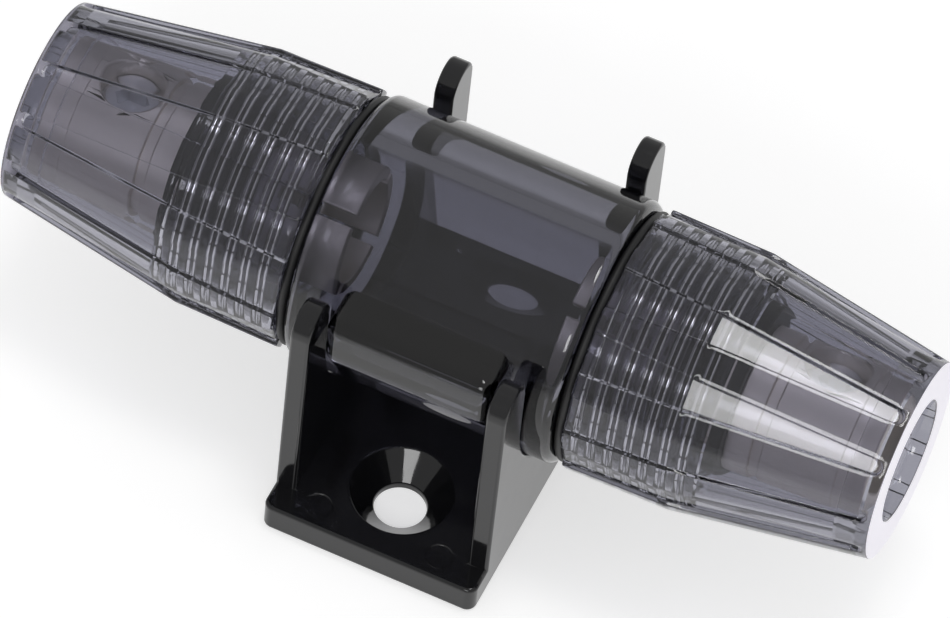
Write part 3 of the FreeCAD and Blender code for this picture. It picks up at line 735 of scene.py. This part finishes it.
def white_sweep():
    """Matt white board. Part of its white is its own, so that it stays white in the picture
    and in what mirrors it or is seen through the plastic, and still takes the shadow. What
    mirrors it finds that glow only near the holder, a painted pool of light that fades farther out."""
    material, tree = new_material("white_sweep")
    seen = add(tree, "ShaderNodeLightPath").outputs
    mirrored = add(tree, "ShaderNodeMath", {0: seen["Is Camera Ray"], 1: seen["Is Glossy Ray"]},
                   operation="MAXIMUM")
    through = add(tree, "ShaderNodeMath", {0: mirrored.outputs[0], 1: seen["Is Transmission Ray"]},
                  operation="MAXIMUM")
    place = add(tree, "ShaderNodeTexCoord").outputs["Object"]
    far = add(tree, "ShaderNodeVectorMath", {0: place}, operation="LENGTH")
    # Painted pool of light: the glow that mirrors and the plastic see fades with distance from the
    # holder.
    painted_light_pool = add(tree, "ShaderNodeMapRange", {
        "Value": far.outputs["Value"], "From Min": 0.09, "From Max": 0.2,
        "To Min": 1.0, "To Max": 0.1}, interpolation_type="SMOOTHSTEP")
    near = add(tree, "ShaderNodeMath", {
        0: painted_light_pool.outputs["Result"], 1: seen["Is Camera Ray"]}, operation="MAXIMUM")
    lit = add(tree, "ShaderNodeMath", {0: through.outputs[0], 1: near.outputs[0]},
              operation="MULTIPLY")
    own = add(tree, "ShaderNodeMath", {0: lit.outputs[0], 1: 0.55}, operation="MULTIPLY")
    board = add(tree, "ShaderNodeBsdfDiffuse", {"Color": linear("#d3d3d3")})
    glow = add(tree, "ShaderNodeEmission", {"Color": linear("#ffffff"), "Strength": own.outputs[0]})
    both = add(tree, "ShaderNodeAddShader", {0: board.outputs[0], 1: glow.outputs[0]})
    add(tree, "ShaderNodeOutputMaterial", {"Surface": both.outputs[0]})
    return material


bpy.ops.mesh.primitive_plane_add(size=SWEEP_SIZE, location=(0, 0, 0))
sweep = bpy.context.object
sweep.name = "sweep"
sweep.data.materials.append(white_sweep())

world = bpy.data.worlds.new("studio")
bpy.context.scene.world = world
world.use_nodes = True
world.node_tree.nodes.clear()
path = add(world.node_tree, "ShaderNodeLightPath").outputs
white = add(world.node_tree, "ShaderNodeBackground", {
    "Color": linear("#ffffff"), "Strength": 1.0})
room = add(world.node_tree, "ShaderNodeBackground", {
    "Color": linear("#ffffff"), "Strength": 0.5})
shown = add(world.node_tree, "ShaderNodeMixShader", {
    0: path["Is Camera Ray"], 1: room.outputs[0], 2: white.outputs[0]})
add(world.node_tree, "ShaderNodeOutputWorld", {"Surface": shown.outputs[0]})


def soft_lamp(name, place, size, power):
    """A soft box of a width and a height in metres, aimed at the holder, with its watts."""
    lamp = bpy.data.lights.new(name, "AREA")
    lamp.shape = "RECTANGLE"
    lamp.size, lamp.size_y = size
    lamp.energy = power
    holder = bpy.data.objects.new(name, lamp)
    bpy.context.scene.collection.objects.link(holder)
    holder.location = place
    aim = LAMPS_AIM - Vector(place)
    holder.rotation_euler = aim.to_track_quat("-Z", "Y").to_euler()


soft_lamp("overhead_softbox", (0.04, 0.075, 0.6), (0.22, 0.12), 0.66)
soft_lamp("front_softbox", (0.06, -0.475, 0.375), (0.24, 0.15), 0.75)

# Camera: a long lens looking down on the holder's front, tilted as the photograph is.
PICTURE_WIDTH = 950
FOCAL_PIXELS = 12372
CAMERA_TURN = math.radians(19.472)
CAMERA_RISE = math.radians(54.342)
CAMERA_ROLL = math.radians(-6.727)
CAMERA_DISTANCE = 1152.5 * MM
CAMERA_TARGET = Vector((0, 0, 12.345 * MM))
CAMERA_SLIDE = (0.333 * MM, 2.084 * MM)
back = Vector((math.sin(CAMERA_TURN) * math.cos(CAMERA_RISE),
               -math.cos(CAMERA_TURN) * math.cos(CAMERA_RISE), math.sin(CAMERA_RISE)))
level = Vector((math.cos(CAMERA_TURN), math.sin(CAMERA_TURN), 0))
upward = back.cross(level)
across = level * math.cos(CAMERA_ROLL) - upward * math.sin(CAMERA_ROLL)
up = level * math.sin(CAMERA_ROLL) + upward * math.cos(CAMERA_ROLL)
camera = bpy.data.objects.new("camera", bpy.data.cameras.new("camera"))
bpy.context.scene.collection.objects.link(camera)
eye = CAMERA_TARGET + back * CAMERA_DISTANCE + level * CAMERA_SLIDE[0] + upward * CAMERA_SLIDE[1]
camera.matrix_world = Matrix.Translation(eye) @ Matrix((across, up, back)).transposed().to_4x4()
camera.data.sensor_width = 36.0
camera.data.lens = FOCAL_PIXELS * camera.data.sensor_width / PICTURE_WIDTH
camera.data.clip_start = 0.1
camera.data.clip_end = 10.0
bpy.context.scene.camera = camera
bpy.context.scene.view_settings.view_transform = "Standard"
